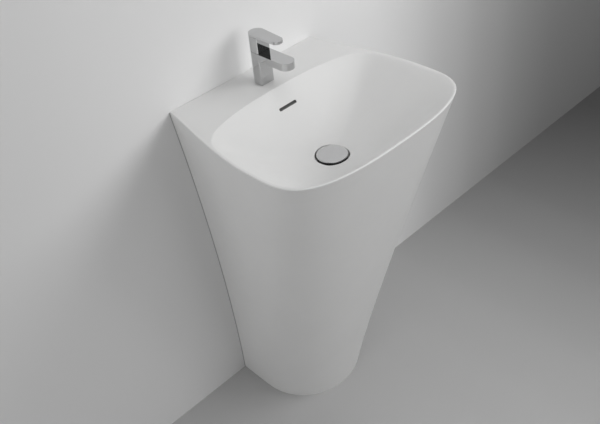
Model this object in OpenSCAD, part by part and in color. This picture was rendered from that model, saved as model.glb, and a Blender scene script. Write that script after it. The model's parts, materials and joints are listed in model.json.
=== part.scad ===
// Back-to-wall pedestal sink: a bowl and its flared column, a single-lever mixer tap,
// a push-open waste with overflow, a bottle trap and two stop valves with hoses.
// +Z is up, +Y faces the wall, and the floor is z = 0.

/* [Pedestal and rim] */
// Height of the rim above the floor
rim_h = 850; // [820:5:900]
// Greatest width at the rim
top_w = 510; // [490:5:540]
// Depth at the rim, from the wall to the front
top_d = 452; // [440:2:470]
// Width against the wall at the rim
back_w = 416; // [380:4:420]
// Distance from the wall to the widest place at the rim
top_side = 280; // [260:5:290]
// Width at the floor
foot_w = 284; // [270:2:300]
// Depth at the floor
foot_d = 238; // [224:2:250]
// Width against the wall at the floor
foot_back_w = 281; // [266:1:282]
// Length of the straight sides at the floor
foot_side = 95; // [80:5:110]
// How late the front and sides flare out on the way up
flare_power = 1.1; // [1:0.05:1.3]
// How late the wall edges flare out on the way up
back_flare_power = 1.8; // [1.4:0.05:2]
// How far the sides bow out between the wall and the widest place
side_bow = 1.7; // [1.4:0.05:1.8]
// How late the sides start to bow
side_lag = 1.25; // [1.1:0.05:1.4]
// Squareness of the front corners at the floor
foot_square = 2.15; // [2:0.05:2.4]
// Squareness of the sides at the rim
top_square_x = 2.6; // [2.3:0.1:3]
// Squareness of the front at the rim
top_square_y = 4.4; // [3.4:0.1:5]
// Thickness of the pedestal wall
wall_t = 12; // [10:1:14]
// Height of the band that belongs to the basin, from the bonding seam to the rim
band_h = 40; // [36:1:44]
// Rounding of the outer rim edge
rim_edge = 1.5; // [1:0.1:2]

/* [Bowl] */
// Depth of the bowl below the rim
bowl_depth = 114; // [105:1:120]
// Distance from the wall to the waste
waste_dist = 260; // [254:1:264]
// Distance from the waste back to the flat deck
bowl_back = 152; // [146:1:155]
// Half width of the curve that rounds the back of the bowl
bowl_spread = 285; // [278:1:295]
// Squareness of the back corners of the bowl
bowl_square = 2.6; // [2.3:0.1:3]
// Width of the lip that is left along the sides and the front
lip_w = 4.5; // [4:0.5:7]
// Roundness of the bowl from its floor to its wall
bowl_round = 2.3; // [2.1:0.1:2.6]
// Softness of the roll from the deck into the bowl
bowl_roll = 1.18; // [1.05:0.01:1.3]
// Thickness of the bowl, measured straight down
bowl_t = 12; // [11:1:14]
// Thickness of the deck that carries the tap
deck_t = 14; // [12:1:16]
// Diameter of the tap hole
tap_hole_d = 29; // [28:0.5:30]
// Width of the overflow slot
slot_w = 50; // [40:1:56]
// Height of the overflow slot
slot_h = 5.5; // [5:0.5:8]
// Depth of the overflow slot below the rim
slot_drop = 36; // [33:0.5:38]

/* [Wall fixing] */
// Spacing of the two wall bolts
bolt_spacing = 280; // [240:10:290]
// Diameter of the wall bolt holes
bolt_hole_d = 14; // [12:0.5:16]
// Distance from the rim down to the wall bolts
bolt_drop = 85; // [80:1:95]
// Height of the rear web
web_h = 50; // [44:1:60]
// Thickness of the rear web
web_t = 12; // [10:1:14]

/* [Waste] */
// Diameter of the round recess in the bowl floor
recess_d = 75; // [73:1:80]
// Depth of that recess below the lowest point of the bowl
recess_depth = 14; // [13:0.5:15]
// Diameter of the waste hole
waste_hole_d = 46; // [45:0.5:48]
// Diameter of the flat plug
cap_d = 68.5; // [65:0.5:69]
// Thickness of the flat plug
cap_t = 2.5; // [2:0.25:4]
// Height of the plug's top above the lowest point of the bowl, when open
cap_rise = 6; // [3:0.5:6]
// Travel of the plug from open to closed
plug_travel = 6; // [4:0.5:6.5]
// Outer diameter of the waste body's thread
waste_tube_d = 41.9; // [40:0.1:43]
// Wall of the waste body
waste_wall = 2.6; // [2:0.1:3]
// Diameter of the waste body's flange
waste_flange_d = 63; // [60:1:66]
// Length of the waste body below the bowl floor
waste_len = 96; // [94:1:104]
// Outer diameter of the overflow collar and the backnut
collar_d = 60; // [58:1:64]

/* [Trap] */
// Outer diameter of the waste pipes
pipe_d = 32; // [31:0.5:33]
// Wall of the waste pipes
pipe_wall = 1.4; // [1.2:0.1:2]
// Distance from the end of the waste down to the trap's outlet
outlet_drop = 105; // [95:1:140]
// Outer diameter of the trap's bottle
bottle_d = 64; // [60:1:68]
// Height of the screw-off cup
cup_h = 70; // [60:5:80]
// Diameter of the wall rosette
rosette_d = 70; // [64:1:76]

/* [Tap] */
// Distance from the wall to the tap's axis
tap_dist = 63; // [61:0.5:65]
// Width of the tap's column
column_w = 36; // [35:0.5:38]
// Depth of the column in front of its axis
column_front = 18; // [17:0.5:20]
// Rounding of the column's front corners
column_corner = 2.5; // [2:0.5:10]
// Height of the column and of the spout's top above the deck
column_h = 75; // [70:1:80]
// Distance from the wall to the spout's tip
spout_dist = 163; // [158:1:168]
// Width of the spout
spout_w = 36; // [35:0.5:38]
// Thickness of the spout
spout_t = 16; // [15:0.5:18]
// Height of the lever's block, up to the underside of its plate
lever_block_h = 34; // [31:1:37]
// Thickness of the lever's plate
lever_t = 6; // [5:0.5:8]
// Distance from the wall to the lever's tip
lever_dist = 136; // [130:1:140]
// Width of the lever at its tip
lever_tip_w = 26; // [24:0.5:32]
// Lift of the lever from closed to full flow, in degrees
lever_lift = 18; // [14:1:20]
// Gap between the lever and the column
lever_gap = 0.6; // [0.5:0.1:1]
// Diameter of the ceramic cartridge
cartridge_d = 23; // [22:0.5:24]
// Diameter of the aerator
aerator_d = 24; // [22:0.5:25]
// Thickness of the tap's base seal
base_seal_t = 0.8; // [0.6:0.1:1.2]

/* [Supply] */
// Distance from the middle to each stop valve
valve_x = 80; // [70:1:90]
// Height of the stop valves above the floor
valve_h = 480; // [450:5:500]
// Diameter of the valves' wall rosettes
valve_rosette_d = 54; // [50:1:58]
// Diameter of the valves' handles
handle_d = 30; // [28:1:34]
// Diameter of the braided hoses
hose_d = 9.6; // [8:0.2:10]
// Diameter of the overflow hose
overflow_hose_d = 20; // [18:1:22]

/* [Hidden] */
$fn = 96;
e = 0.01;
slack = 0.1;
seat = 0.3;

wall_y = top_d / 2;
seam_z = rim_h - band_h;
bowl_z = rim_h - bowl_depth;
waste_y = wall_y - waste_dist;
tap_y = wall_y - tap_dist;

side_n = 16;
front_n = 26;
back_n = 18;
shell_levels = 10;

white = "white";
steel = [0.8, 0.81, 0.83];
brass = [0.78, 0.66, 0.38];
black = [0.12, 0.12, 0.13];
plastic = [0.9, 0.9, 0.9];

// ---- Form of the outer wall -------------------------------------------------------------

function mix(a, b, s) = a + (b - a) * s;

// Share of the way up to the rim's full size, which is where its rounded edge starts
function level(z) = z / (rim_h - rim_edge);

function half_wide(t) = mix(foot_w, top_w, pow(t, flare_power)) / 2;
function half_back(t) = mix(foot_back_w, back_w, pow(t, back_flare_power)) / 2;
function reach(t) = mix(foot_d, top_d, pow(t, flare_power));
function side_run(t) = mix(foot_side, top_side, pow(t, flare_power));

// A point on the side wall, from the wall edge (s = 0) to the widest place (s = 1)
function side_point(t, s) =
    let(bow = 1 - pow(1 - pow(s, side_lag), side_bow))
    [mix(half_back(t), half_wide(t), bow), wall_y - side_run(t) * s];

// A point on the front quarter, from the widest place (s = 0) to the middle (s = 1)
function front_point(t, s) =
    let(
        square_x = mix(foot_square, top_square_x, t),
        square_y = mix(foot_square, top_square_y, t),
        out = sin(90 * s),
        x = half_wide(t) * pow(max(0, 1 - pow(out, square_y)), 1 / square_x)
    )
    [x, wall_y - side_run(t) - (reach(t) - side_run(t)) * out];

// The open outline, from the right wall edge round the front to the left wall edge
function right_half(t) = concat(
    [for (i = [0 : side_n - 1]) side_point(t, i / side_n)],
    [for (i = [0 : front_n]) front_point(t, i / front_n)]
);
function open_outline(t) =
    let(right = right_half(t), n = len(right))
    concat(right, [for (i = [n - 2 : -1 : 0]) [-right[i].x, right[i].y]]);

// The closed outline adds the straight edge along the wall
function wall_edge(half) = [for (i = [1 : back_n - 1]) [mix(-half, half, i / back_n), wall_y]];
function closed_outline(t) = concat(open_outline(t), wall_edge(half_back(t)));

// The open outline moved in by a wall's thickness; its two ends stay on the wall plane
function unit(v) = v / norm(v);
function inward(p, i) =
    i == 0 ? [-1, 0] :
    i == len(p) - 1 ? [1, 0] :
    let(along = unit(p[i + 1] - p[i - 1])) [along.y, -along.x];
function open_inset(p, d) = [for (i = [0 : len(p) - 1]) p[i] + inward(p, i) * d];
function closed_inset(t, d) =
    let(
        ends_in = [for (p = open_inset(open_outline(t), d)) [p.x, min(p.y, wall_y - d)]]
    )
    concat(ends_in, [for (p = wall_edge(half_back(t) - d)) [p.x, wall_y - d]]);

function at_height(pts, z) = [for (p = pts) [p.x, p.y, z]];

// Triangles between ring a and ring b of n points, closed or open round the ring
function band(a, b, n, close = true) = [
    for (i = [0 : n - (close ? 1 : 2)])
        let(j = (i + 1) % n)
        each [[a + i, a + j, b + j], [a + i, b + j, b + i]]
];
function flat(lists) = [for (l = lists) each l];

// ---- Pedestal ---------------------------------------------------------------------------

module pedestal_loft() {
    n = len(open_outline(0));
    rings = [
        for (k = [0 : shell_levels])
            let(
                z = k / shell_levels * seam_z,
                outer = open_outline(level(z)),
                inner = open_inset(outer, wall_t),
                back_to_front = [for (i = [n - 1 : -1 : 0]) inner[i]]
            )
            at_height(concat(outer, back_to_front), z)
    ];
    size = 2 * n;
    sides = [for (k = [0 : shell_levels - 1]) each band(k * size, (k + 1) * size, size)];
    last = shell_levels * size;
    foot = [
        for (i = [0 : n - 2])
            each [[i, size - 2 - i, i + 1], [i, size - 1 - i, size - 2 - i]]
    ];
    head = [for (f = foot) [last + f[0], last + f[2], last + f[1]]];
    polyhedron(flat(rings), concat(sides, foot, head));
}

// The web across the open back ties the two sides together and takes the wall bolts
module rear_web() {
    low = rim_h - bolt_drop - web_h / 2;
    high = low + web_h;
    reach_in = wall_t / 2;
    half_low = half_back(level(low)) - reach_in;
    half_high = half_back(level(high)) - reach_in;
    translate([0, wall_y, 0])
        rotate([90, 0, 0])
            linear_extrude(web_t)
                polygon([[-half_low, low], [half_low, low], [half_high, high], [-half_high, high]]);
}

module bolt_holes() {
    for (side = [-1, 1])
        translate([side * bolt_spacing / 2, wall_y + e, rim_h - bolt_drop])
            rotate([90, 0, 0])
                cylinder(d = bolt_hole_d, h = web_t + 2 * e);
}

module pedestal_shell() {
    color(white)
        difference() {
            union() {
                pedestal_loft();
                rear_web();
            }
            bolt_holes();
        }
}

// ---- Basin ------------------------------------------------------------------------------

waste_at = [0, waste_y];

// Distance from the waste to the bowl's edge, on the ray through the rim point p
function bowl_edge(p) =
    let(
        v = p - waste_at,
        side_reach = norm(v) - lip_w * norm(v) / (norm(v) - lip_w),
        along = unit(v),
        back_depth = along.y > 0 ? bowl_back : 2.6 * bowl_back,
        curve = pow(pow(abs(along.x) / bowl_spread, bowl_square)
            + pow(abs(along.y) / back_depth, bowl_square), -1 / bowl_square),
        blend = 24
    )
    pow(pow(side_reach, -blend) + pow(curve, -blend), -1 / blend);

// Height of the bowl's inner surface at a share q of the way out to its edge
function bowl_height(q) =
    rim_h - bowl_depth * pow(max(0, 1 - pow(q, bowl_round)), bowl_roll);

bowl_steps = [1, 0.985, 0.96, 0.92, 0.87, 0.81, 0.74, 0.66, 0.57, 0.47, 0.36, 0.24, 0.12];
under_steps = [1, 0.95, 0.9, 0.84, 0.77, 0.69, 0.6, 0.5, 0.38, 0.24, 0.12];

module basin_loft() {
    seam_t = level(seam_z);
    edge_z = rim_h - rim_edge;
    rim = closed_outline(1);
    n = len(rim);
    edges = [for (p = rim) bowl_edge(p)];
    inner = closed_inset(seam_t, wall_t);
    band_rings = [
        at_height(closed_outline(seam_t), seam_z),
        at_height(closed_outline((seam_t + 1) / 2), (seam_z + edge_z) / 2),
        at_height(rim, edge_z),
        at_height(closed_inset(1, rim_edge), rim_h)
    ];
    bowl_rings = [
        for (q = bowl_steps) [
            for (i = [0 : n - 1])
                let(p = waste_at + unit(rim[i] - waste_at) * edges[i] * q)
                [p.x, p.y, bowl_height(q)]
        ]
    ];
    under_rings = [
        for (w = under_steps) [
            for (i = [0 : n - 1])
                let(
                    p = waste_at + (inner[i] - waste_at) * w,
                    q = norm(p - waste_at) / edges[i],
                    deck = rim_h - deck_t,
                    z = q < 1 ? min(deck, bowl_height(q) - bowl_t) : deck
                )
                [p.x, p.y, max(z, w == 1 ? seam_z + e : 0)]
        ]
    ];
    foot_ring = [at_height(inner, seam_z)];
    rings = concat(
        [[for (i = [0 : n - 1]) [waste_at.x, waste_at.y, bowl_z - bowl_t]]],
        [for (k = [len(under_steps) - 1 : -1 : 0]) under_rings[k]],
        foot_ring, band_rings, bowl_rings
    );
    count = len(rings) - 1;
    tip = 1 + count * n;
    points = concat(
        [[waste_at.x, waste_at.y, bowl_z - bowl_t]],
        [for (k = [1 : count]) each rings[k]],
        [[waste_at.x, waste_at.y, bowl_z]]
    );
    low_fan = [for (i = [0 : n - 1]) [0, 1 + (i + 1) % n, 1 + i]];
    top = tip - n;
    top_fan = [for (i = [0 : n - 1]) [tip, top + i, top + (i + 1) % n]];
    walls = [for (k = [0 : count - 2]) each band(1 + k * n, 1 + (k + 1) * n, n)];
    polyhedron(points, concat(low_fan, walls, top_fan));
}

// Distance from the wall to the bowl's rear surface at a height
function bowl_share(z) =
    pow(1 - pow((rim_h - z) / bowl_depth, 1 / bowl_roll), 1 / bowl_round);
function bowl_rear_y(z) = waste_y + bowl_back * bowl_share(z);

slot_z = rim_h - slot_drop;
slot_seat_y = bowl_rear_y(slot_z) + 22;
slot_block_w = slot_w + 24;
slot_block_top = slot_z + 14;
slot_block_low = slot_z - 18;
boss_floor = 10;
boss_d = recess_d + 20;
recess_z = bowl_z - recess_depth;
clamp_z = recess_z - boss_floor;

// The thick place behind the bowl that the overflow housing seats on
module slot_block() {
    translate([-slot_block_w / 2, 0, 0])
        rotate([90, 0, 90])
            linear_extrude(slot_block_w)
                polygon([
                    [slot_seat_y, slot_block_top],
                    [bowl_rear_y(slot_block_top) + 3, slot_block_top],
                    [bowl_rear_y(slot_block_low) + 6, slot_block_low],
                    [slot_seat_y, slot_block_low]
                ]);
}

module slot_cut(w, h, from_y, to_y) {
    translate([0, to_y, slot_z])
        rotate([90, 0, 0])
            linear_extrude(to_y - from_y) {
                square([w - h, h], center = true);
                for (side = [-1, 1])
                    translate([side * (w - h) / 2, 0])
                        circle(d = h);
            }
}

module basin_bowl() {
    color(white)
        difference() {
            union() {
                basin_loft();
                translate([0, waste_y, clamp_z])
                    cylinder(d = boss_d, h = bowl_z - 2 - clamp_z);
                slot_block();
            }
            translate([0, waste_y, recess_z])
                cylinder(d = recess_d, h = recess_depth + boss_floor);
            translate([0, waste_y, clamp_z - 1])
                cylinder(d = waste_hole_d, h = recess_depth + boss_floor);
            translate([0, tap_y, rim_h - deck_t - 1])
                cylinder(d = tap_hole_d, h = deck_t + 2);
            slot_cut(slot_w, slot_h, bowl_rear_y(slot_z) - 8, slot_seat_y + 1);
        }
}

// ---- Overflow ---------------------------------------------------------------------------

overflow_seal_t = 1.5;
housing_w = slot_w + 14;
housing_d = 22;
housing_wall = 2.4;
housing_top = slot_z + 12;
housing_low = slot_z - 16;
housing_y = slot_seat_y + overflow_seal_t;
spigot_y = housing_y + housing_d / 2;
spigot_d = overflow_hose_d - 4;
spigot_bore = spigot_d - 3;
spigot_len = 20;

module overflow_gasket() {
    color(black)
        difference() {
            translate([-housing_w / 2, slot_seat_y, housing_low])
                cube([housing_w, overflow_seal_t, housing_top - housing_low]);
            slot_cut(slot_w + 2, slot_h + 2, slot_seat_y - 1, housing_y + 1);
        }
}

module overflow_housing() {
    inner_w = housing_w - 2 * housing_wall;
    inner_h = housing_top - housing_low - 2 * housing_wall;
    color(plastic)
        difference() {
            union() {
                translate([-housing_w / 2, housing_y, housing_low])
                    cube([housing_w, housing_d, housing_top - housing_low]);
                translate([0, spigot_y, housing_low - spigot_len])
                    cylinder(d = spigot_d, h = spigot_len + 1);
            }
            translate([-inner_w / 2, housing_y - 1, housing_low + housing_wall])
                cube([inner_w, housing_d - housing_wall + 1, inner_h]);
            translate([0, spigot_y, housing_low - spigot_len - 1])
                cylinder(d = spigot_bore, h = spigot_len + housing_wall + 2);
        }
}

// ---- Waste ------------------------------------------------------------------------------

waste_gasket_t = 1.5;
flange_t = 2.5;
under_washer_t = 4;
collar_h = 26;
backnut_h = 10;
thread_slack = 0.1;
waste_bore = waste_tube_d - 2 * waste_wall;
threaded_hole = waste_tube_d + 2 * thread_slack;
flange_z = recess_z + waste_gasket_t;
flange_top = flange_z + flange_t;
waste_low = bowl_z - waste_len;
collar_z = clamp_z - under_washer_t - collar_h;
collar_mid = collar_z + collar_h / 2;
backnut_z = collar_z - backnut_h;
hub_h = 10;
hub_d = 18;
hub_z = backnut_z - 2;
click_d = 12;
click_low = hub_z - 4;
click_top = collar_z + collar_h + 5;
spindle_d = 8;

module ring(outer, inner, h) {
    difference() {
        cylinder(d = outer, h = h);
        translate([0, 0, -1])
            cylinder(d = inner, h = h + 2);
    }
}

module at_waste(z) {
    translate([0, waste_y, z])
        children();
}

module waste_body() {
    window_w = 16;
    window_h = 10;
    rib_t = 3;
    color(brass)
        difference() {
            union() {
                at_waste(flange_z)
                    ring(waste_flange_d, waste_bore, flange_t);
                at_waste(waste_low)
                    ring(waste_tube_d, waste_bore, flange_z - waste_low + 1);
                at_waste(hub_z)
                    cylinder(d = hub_d, h = hub_h);
                for (a = [30 : 120 : 270])
                    at_waste(hub_z)
                        rotate(a)
                            translate([0, -rib_t / 2, 0])
                                cube([waste_bore / 2 + 1, rib_t, hub_h]);
            }
            at_waste(hub_z - 1)
                cylinder(d = click_d + 2 * thread_slack, h = hub_h + 2);
            for (a = [0 : 90 : 270])
                at_waste(collar_mid - window_h / 2)
                    rotate(a)
                        translate([waste_bore / 2 - 2, -window_w / 2, 0])
                            cube([waste_wall + 4, window_w, window_h]);
        }
}

module waste_gasket() {
    color(black)
        at_waste(recess_z)
            ring(waste_flange_d, waste_hole_d, waste_gasket_t);
}

module waste_under_washer() {
    color(black)
        at_waste(clamp_z - under_washer_t)
            ring(collar_d + 4, threaded_hole, under_washer_t);
}

collar_spigot_end = waste_y + collar_d / 2 + 24;

module overflow_collar() {
    chamber_d = collar_d - 8;
    lip = 5;
    color(plastic)
        difference() {
            union() {
                at_waste(collar_z)
                    cylinder(d = collar_d, h = collar_h);
                translate([0, collar_spigot_end, collar_mid])
                    rotate([90, 0, 0])
                        cylinder(d = spigot_d, h = collar_spigot_end - waste_y - 5);
            }
            at_waste(collar_z - 1)
                cylinder(d = threaded_hole, h = collar_h + 2);
            at_waste(collar_z + lip)
                cylinder(d = chamber_d, h = collar_h - 2 * lip);
            translate([0, collar_spigot_end + 1, collar_mid])
                rotate([90, 0, 0])
                    cylinder(d = spigot_bore, h = collar_spigot_end - waste_y - 5);
        }
}

module waste_backnut() {
    color(plastic)
        at_waste(backnut_z)
            difference() {
                cylinder(d = collar_d, h = backnut_h, $fn = 6);
                translate([0, 0, -1])
                    cylinder(d = threaded_hole, h = backnut_h + 2);
            }
}

// ---- Push-open plug ---------------------------------------------------------------------

cap_top = bowl_z + cap_rise;
cap_low = cap_top - cap_t;
cap_bevel = 1.2;
cap_taper = 1.2;
cap_boss_d = 16;
cap_boss_h = 6;
plug_seal_t = cap_low - plug_travel - flange_top - slack;

module plug_cap() {
    r = cap_d / 2;
    color(steel)
        at_waste(0)
            difference() {
                union() {
                    rotate_extrude()
                        polygon([
                            [0, cap_low], [r - cap_taper, cap_low],
                            [r, cap_top - cap_bevel], [r - cap_bevel, cap_top], [0, cap_top]
                        ]);
                    translate([0, 0, cap_low - cap_boss_h])
                        cylinder(d = cap_boss_d, h = cap_boss_h + 1);
                }
                translate([0, 0, cap_low - cap_boss_h - 1])
                    cylinder(d = spindle_d + 2 * thread_slack, h = cap_boss_h + 1 + cap_t / 2);
            }
}

module plug_seal() {
    color(black)
        at_waste(cap_low - plug_seal_t)
            ring(cap_d - 2 * cap_taper, waste_bore + 5, plug_seal_t);
}

module plug_spindle() {
    low = hub_z + hub_h + 14;
    color(steel)
        at_waste(low)
            cylinder(d = spindle_d, h = cap_low + cap_t / 2 - low);
}

module click_cartridge() {
    floor_z = hub_z + hub_h;
    color(brass)
        at_waste(click_low)
            difference() {
                cylinder(d = click_d, h = click_top - click_low);
                translate([0, 0, floor_z - click_low])
                    cylinder(d = spindle_d + 2 * seat, h = click_top - floor_z + 1);
            }
}

// ---- Bottle trap ------------------------------------------------------------------------

pipe_bore = pipe_d - 2 * pipe_wall;
pipe_hole = pipe_d + 2 * thread_slack;
inlet_nut_h = 22;
inlet_nut_d = 54;
inlet_nut_z = waste_low - 9;
inlet_lip = 6;
bottle_wall = 2.6;
outlet_h = waste_low - outlet_drop;
stub_d = pipe_d + 8;
stub_margin = 13;
stub_proud = 2;
head_bevel = 5;
head_z = outlet_h - stub_d / 2 - stub_margin;
head_top = outlet_h + stub_d / 2 - stub_proud;
neck_d = pipe_d + 10;
neck_h = 14;
head_nut_h = 19;
washer_t = 3;
skirt_h = 16;
cup_z = head_z - cup_h;
cup_bore = bottle_d - 5;
skirt_d = cup_bore - 0.4;
cup_seal_t = 2;
stub_end = waste_y + bottle_d / 2 + 20;
outlet_nut_h = 20;

// A union nut with a lip that holds a pipe's washer, standing on z = 0, lip at the top
module union_nut(outer, thread, h, lip) {
    grips = 12;
    difference() {
        cylinder(d = outer, h = h);
        translate([0, 0, -1])
            cylinder(d = thread, h = h - lip + 1);
        translate([0, 0, -1])
            cylinder(d = pipe_hole, h = h + 2);
        for (i = [0 : grips - 1])
            rotate(i * 360 / grips)
                translate([outer / 2 + 1.2, 0, -1])
                    cylinder(d = 5, h = h + 2);
    }
}

module trap_inlet_nut() {
    color(steel)
        at_waste(inlet_nut_z + inlet_nut_h)
            mirror([0, 0, 1])
                union_nut(inlet_nut_d, threaded_hole, inlet_nut_h, inlet_lip);
}

module trap_inlet_pipe() {
    low = cup_z + 26;
    collar_low = inlet_nut_z + inlet_lip;
    color(steel)
        difference() {
            union() {
                at_waste(low)
                    cylinder(d = pipe_d, h = waste_low - low);
                at_waste(collar_low)
                    cylinder(d = waste_tube_d - 1, h = waste_low - collar_low);
            }
            at_waste(low - 1)
                cylinder(d = pipe_bore, h = waste_low - low + 2);
        }
}

module trap_body() {
    r = bottle_d / 2;
    color(steel)
        difference() {
            union() {
                at_waste(0)
                    rotate_extrude()
                        polygon([
                            [0, head_z - skirt_h], [skirt_d / 2, head_z - skirt_h],
                            [skirt_d / 2, head_z], [r, head_z], [r, head_top - head_bevel],
                            [r - head_bevel, head_top], [neck_d / 2, head_top],
                            [neck_d / 2, head_top + neck_h], [0, head_top + neck_h]
                        ]);
                translate([0, stub_end, outlet_h])
                    rotate([90, 0, 0])
                        cylinder(d = stub_d, h = stub_end - waste_y - r + 4);
            }
            at_waste(head_z - skirt_h - 1)
                cylinder(d = skirt_d - 2 * bottle_wall, h = head_top - head_z + skirt_h - 3);
            at_waste(head_z)
                cylinder(d = pipe_hole, h = head_top + neck_h - head_z + 1);
            translate([0, stub_end + 1, outlet_h])
                rotate([90, 0, 0])
                    cylinder(d = pipe_hole, h = stub_end - waste_y - r + 12);
        }
}

module trap_head_washer() {
    color(black)
        at_waste(head_top + neck_h)
            ring(neck_d, pipe_hole, washer_t);
}

module trap_head_nut() {
    color(steel)
        at_waste(head_top + neck_h + washer_t + 3 - head_nut_h)
            union_nut(neck_d + 10, neck_d + 2 * thread_slack, head_nut_h, 3);
}

module trap_cup_seal() {
    color(black)
        at_waste(head_z - skirt_h - cup_seal_t)
            ring(skirt_d, skirt_d - 2 * bottle_wall, cup_seal_t);
}

module trap_cup() {
    r = bottle_d / 2;
    shoulder = head_z - skirt_h - cup_seal_t;
    grips = 16;
    color(steel)
        difference() {
            at_waste(0)
                rotate_extrude()
                    polygon([
                        [0, cup_z], [r - 12, cup_z], [r - 3, cup_z + 9], [r, cup_z + 20],
                        [r, shoulder - 4], [r + 2.5, shoulder - 2], [r + 2.5, head_z], [0, head_z]
                    ]);
            at_waste(shoulder)
                cylinder(d = cup_bore, h = head_z - shoulder + 1);
            at_waste(0)
                rotate_extrude()
                    polygon([
                        [0, cup_z + 3], [r - 13, cup_z + 3], [r - 6, cup_z + 11],
                        [r - 5, cup_z + 21], [r - 5, shoulder + 1], [0, shoulder + 1]
                    ]);
            for (i = [0 : grips - 1])
                at_waste(shoulder - 5)
                    rotate(i * 360 / grips)
                        translate([r + 4, 0, 0])
                            cylinder(d = 5, h = head_z - shoulder + 6);
        }
}

// Places a part that is drawn upright so that its top points at the wall
module towards_wall(x, y, z) {
    translate([x, y, z])
        rotate([-90, 0, 0])
            children();
}

module trap_outlet_washer() {
    color(black)
        towards_wall(0, stub_end, outlet_h)
            ring(stub_d, pipe_hole, washer_t);
}

module trap_outlet_nut() {
    color(steel)
        towards_wall(0, stub_end + washer_t + 3 - outlet_nut_h, outlet_h)
            union_nut(stub_d + 10, stub_d + 2 * thread_slack, outlet_nut_h, 3);
}

module outlet_pipe() {
    start = stub_end - 12;
    color(steel)
        towards_wall(0, start, outlet_h)
            ring(pipe_d, pipe_bore, wall_y - start);
}

// A domed cover plate against the wall, round a pipe
module wall_plate(outer, hole, deep) {
    r = outer / 2;
    rotate_extrude()
        polygon([
            [hole / 2, 0], [r, 0], [r, 1.2], [r - 4, deep * 0.55],
            [r - 12, deep * 0.9], [hole / 2, deep]
        ]);
}

module outlet_rosette() {
    color(steel)
        translate([0, wall_y, outlet_h])
            rotate([90, 0, 0])
                wall_plate(rosette_d, pipe_hole, 9);
}

// ---- Tap --------------------------------------------------------------------------------

tap_base = rim_h + base_seal_t;
column_top = rim_h + column_h;
column_r = column_w / 2;
block_front = column_front - 2;
lever_z = column_top + lever_gap;
plate_z = lever_z + lever_block_h;
spout_end_r = spout_w / 2;
spout_tip = tap_dist + spout_end_r - spout_dist;
cartridge_h = 38;
cartridge_low = column_top - cartridge_h;
cartridge_neck_d = cartridge_d - 5;
nut_seat = 9;
nut_d = cartridge_d + 3;
nut_low = column_top - nut_seat;
nut_h = 15;
neck_top = nut_low + nut_h - 1;
turret_d = cartridge_d - 8;
turret_z = neck_top - 12;
stem_d = 6;
pin_d = 2.5;
pin_hole = pin_d + slack;
stem_low = turret_z + 2;
cavity_d = nut_d + 4;
cavity_h = nut_h - nut_seat + 8;
lever_solid_z = lever_z + cavity_h;
stem_top = lever_solid_z + 12;
screw_d = 5;
screw_len = 8;
plug_len = 3;
screw_z = lever_solid_z + 7;
aerator_y = spout_tip;
aerator_depth = 9;
port_d = 10;
port_depth = 14;
port_x = 6.5;
port_y = -5;
stud_d = 8;
stud_y = 9;
stud_hang = 60;
stud_low = rim_h - stud_hang;
horseshoe_d = 44;
horseshoe_t = 3;

module at_tap(z) {
    translate([0, tap_y, z])
        children();
}

// Plan of the column and of the lever's block: round at the back, soft corners in front
module column_plan(front) {
    corner = min(column_corner, front / 2);
    intersection() {
        circle(r = column_r);
        translate([-column_r, -corner])
            square(column_w + corner);
    }
    translate([-column_r, -front + corner])
        square([column_w, front - corner]);
    translate([-column_r + corner, -front])
        square([column_w - 2 * corner, front]);
    for (side = [-1, 1])
        translate([side * (column_r - corner), -front + corner])
            circle(r = corner);
}

// Plan of the lever's plate: two round ends joined by their tangents
module plate_plan(length, tip_r) {
    slope = asin((column_r - tip_r) / length);
    circle(r = column_r);
    translate([0, -length])
        circle(r = tip_r);
    polygon([
        for (side = [-1, 1])
            each [
                for (end = side == 1 ? [0, 1] : [1, 0])
                    let(r = end == 0 ? column_r : tip_r)
                    [side * r * cos(slope), -length * end - r * sin(slope)]
            ]
    ]);
}

module tap_body() {
    color(steel)
        difference() {
            at_tap(0)
                union() {
                    translate([0, 0, tap_base])
                        linear_extrude(column_top - tap_base)
                            column_plan(column_front);
                    translate([0, 0, column_top - spout_t]) {
                        linear_extrude(spout_t)
                            translate([-spout_end_r, spout_tip])
                                square([spout_w, -spout_tip]);
                        translate([0, spout_tip, 0])
                            cylinder(r = spout_end_r, h = spout_t);
                    }
                }
            at_tap(cartridge_low)
                cylinder(d = cartridge_d + 2 * slack, h = column_top - cartridge_low + 1);
            at_tap(nut_low)
                cylinder(d = nut_d + 2 * slack, h = column_top - nut_low + 1);
            for (side = [-1, 1])
                at_tap(tap_base - 1)
                    translate([side * port_x, port_y, 0])
                        cylinder(d = port_d, h = port_depth + 1);
            at_tap(tap_base - 1)
                translate([0, stud_y, 0])
                    cylinder(d = stud_d + 2 * thread_slack, h = port_depth + 1);
            at_tap(column_top - spout_t - 1)
                translate([0, aerator_y, 0])
                    cylinder(d = aerator_d + 2 * slack, h = aerator_depth + 1);
            at_tap(column_top - spout_t / 2)
                rotate([90, 0, 0])
                    cylinder(d = 7, h = -aerator_y);
        }
}

module tap_base_seal() {
    color(black)
        at_tap(rim_h)
            difference() {
                cylinder(r = column_r - 1, h = base_seal_t);
                translate([0, stud_y, -1])
                    cylinder(d = stud_d + 2 * thread_slack, h = base_seal_t + 2);
                for (side = [-1, 1])
                    translate([side * port_x, port_y, -1])
                        cylinder(d = port_d, h = base_seal_t + 2);
            }
}

module aerator_housing() {
    color(steel)
        at_tap(column_top - spout_t)
            translate([0, aerator_y, 0])
                ring(aerator_d, aerator_d - 5, aerator_depth);
}

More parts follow.
